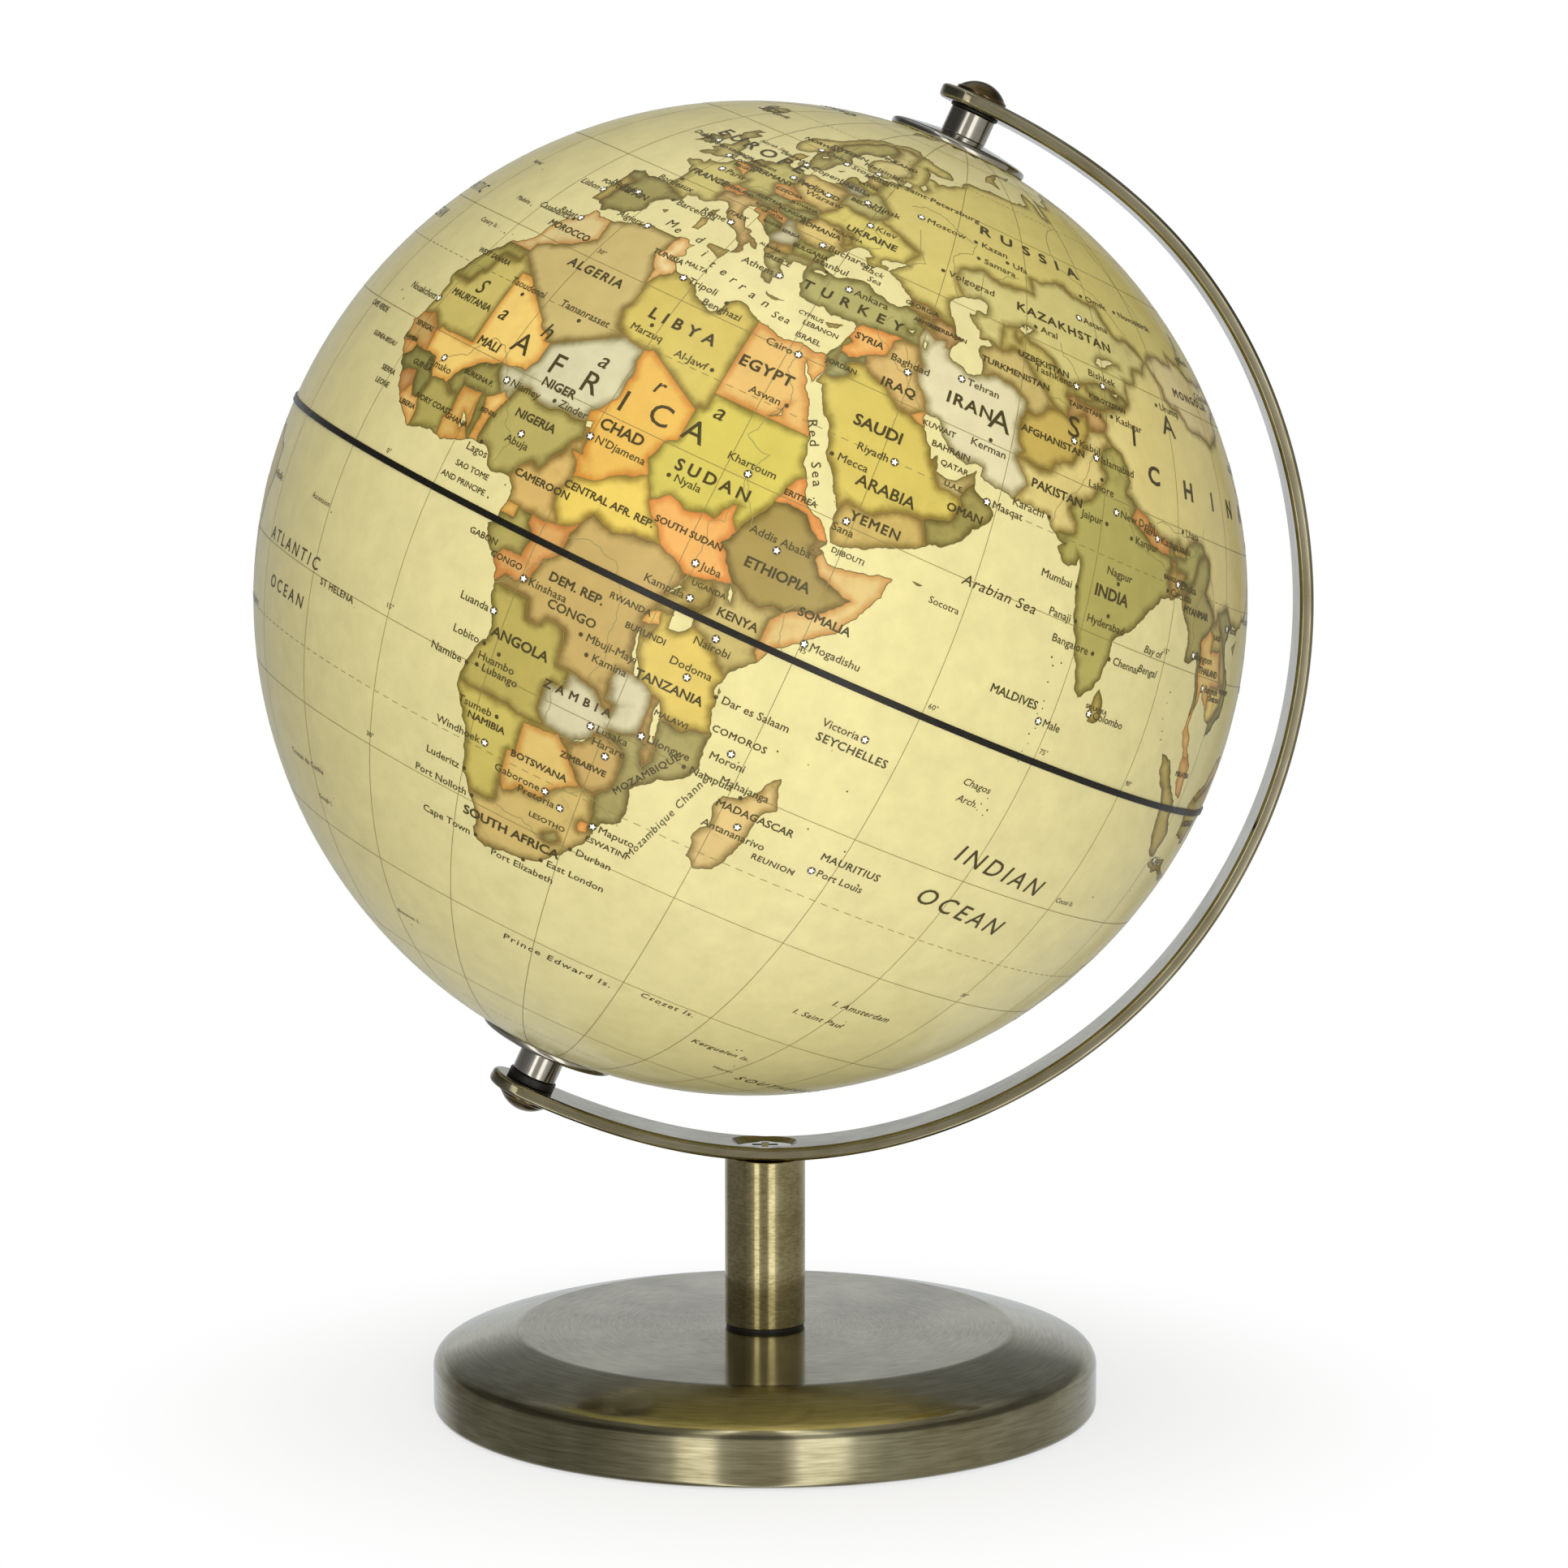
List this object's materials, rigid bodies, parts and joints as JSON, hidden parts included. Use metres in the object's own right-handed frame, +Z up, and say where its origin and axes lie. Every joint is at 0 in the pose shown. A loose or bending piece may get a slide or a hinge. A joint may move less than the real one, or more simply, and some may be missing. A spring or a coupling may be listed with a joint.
{
  "type": "desk globe",
  "caption": "Printed terrestrial globe ball spinning on a tilted axle, held by a half-ring strip arm on a short pillar with a weighted round base.",
  "frame": {"origin": "middle of the flat underside of the base pad, on the pillar's axis", "axes": "+Z up along the pillar; the half-ring arm lies in the XZ plane and the north pole leans 24.6 degrees from +Z towards +X; -Y faces the viewer"},
  "size_m": [0.2131, 0.2008, 0.2702],
  "materials": {
    "map_print": "varnished antique map print on a plastic ball",
    "black_tape": "satin black joint tape",
    "antique_brass": "brushed antique-brass plating on steel, lacquered",
    "dark_chrome": "polished dark bronze-tinted chrome",
    "black_nylon": "matt black nylon or fibre",
    "white_plastic": "moulded natural plastic",
    "zinc_steel": "zinc-plated steel",
    "cast_iron": "as cast",
    "foam": "dense black foam"
  },
  "bodies": {
    "stand": {"base_pad": "foam", "base_shell": "antique_brass", "base_weight": "cast_iron", "base_bolt": "zinc_steel", "base_washer": "zinc_steel", "base_spring_washer": "zinc_steel", "pillar_gasket": "black_nylon", "pillar_tube": "antique_brass", "pillar_lower_plug": "zinc_steel", "pillar_upper_plug": "zinc_steel", "arm": "antique_brass", "arm_screw": "dark_chrome", "axle_rod": "zinc_steel", "north_dome_nut": "dark_chrome", "south_dome_nut": "dark_chrome", "north_washer": "black_nylon", "south_washer": "black_nylon", "north_spacer": "dark_chrome", "south_spacer": "dark_chrome"},
    "globe": {"north_hemisphere": "map_print", "south_hemisphere": "map_print", "equator_band": "black_tape", "joint_ring": "white_plastic", "north_pole_cap": "dark_chrome", "south_pole_cap": "dark_chrome", "north_bushing": "white_plastic", "south_bushing": "white_plastic", "north_lock_ring": "white_plastic", "south_lock_ring": "white_plastic"}
  },
  "joints": [
    {"name": "globe_spin", "type": "hinge", "parent": "stand", "child": "globe", "pos_m": [-0.0028, 0, 0.166], "axis": [0.4163, 0, 0.9092], "continuous": true}
  ]
}
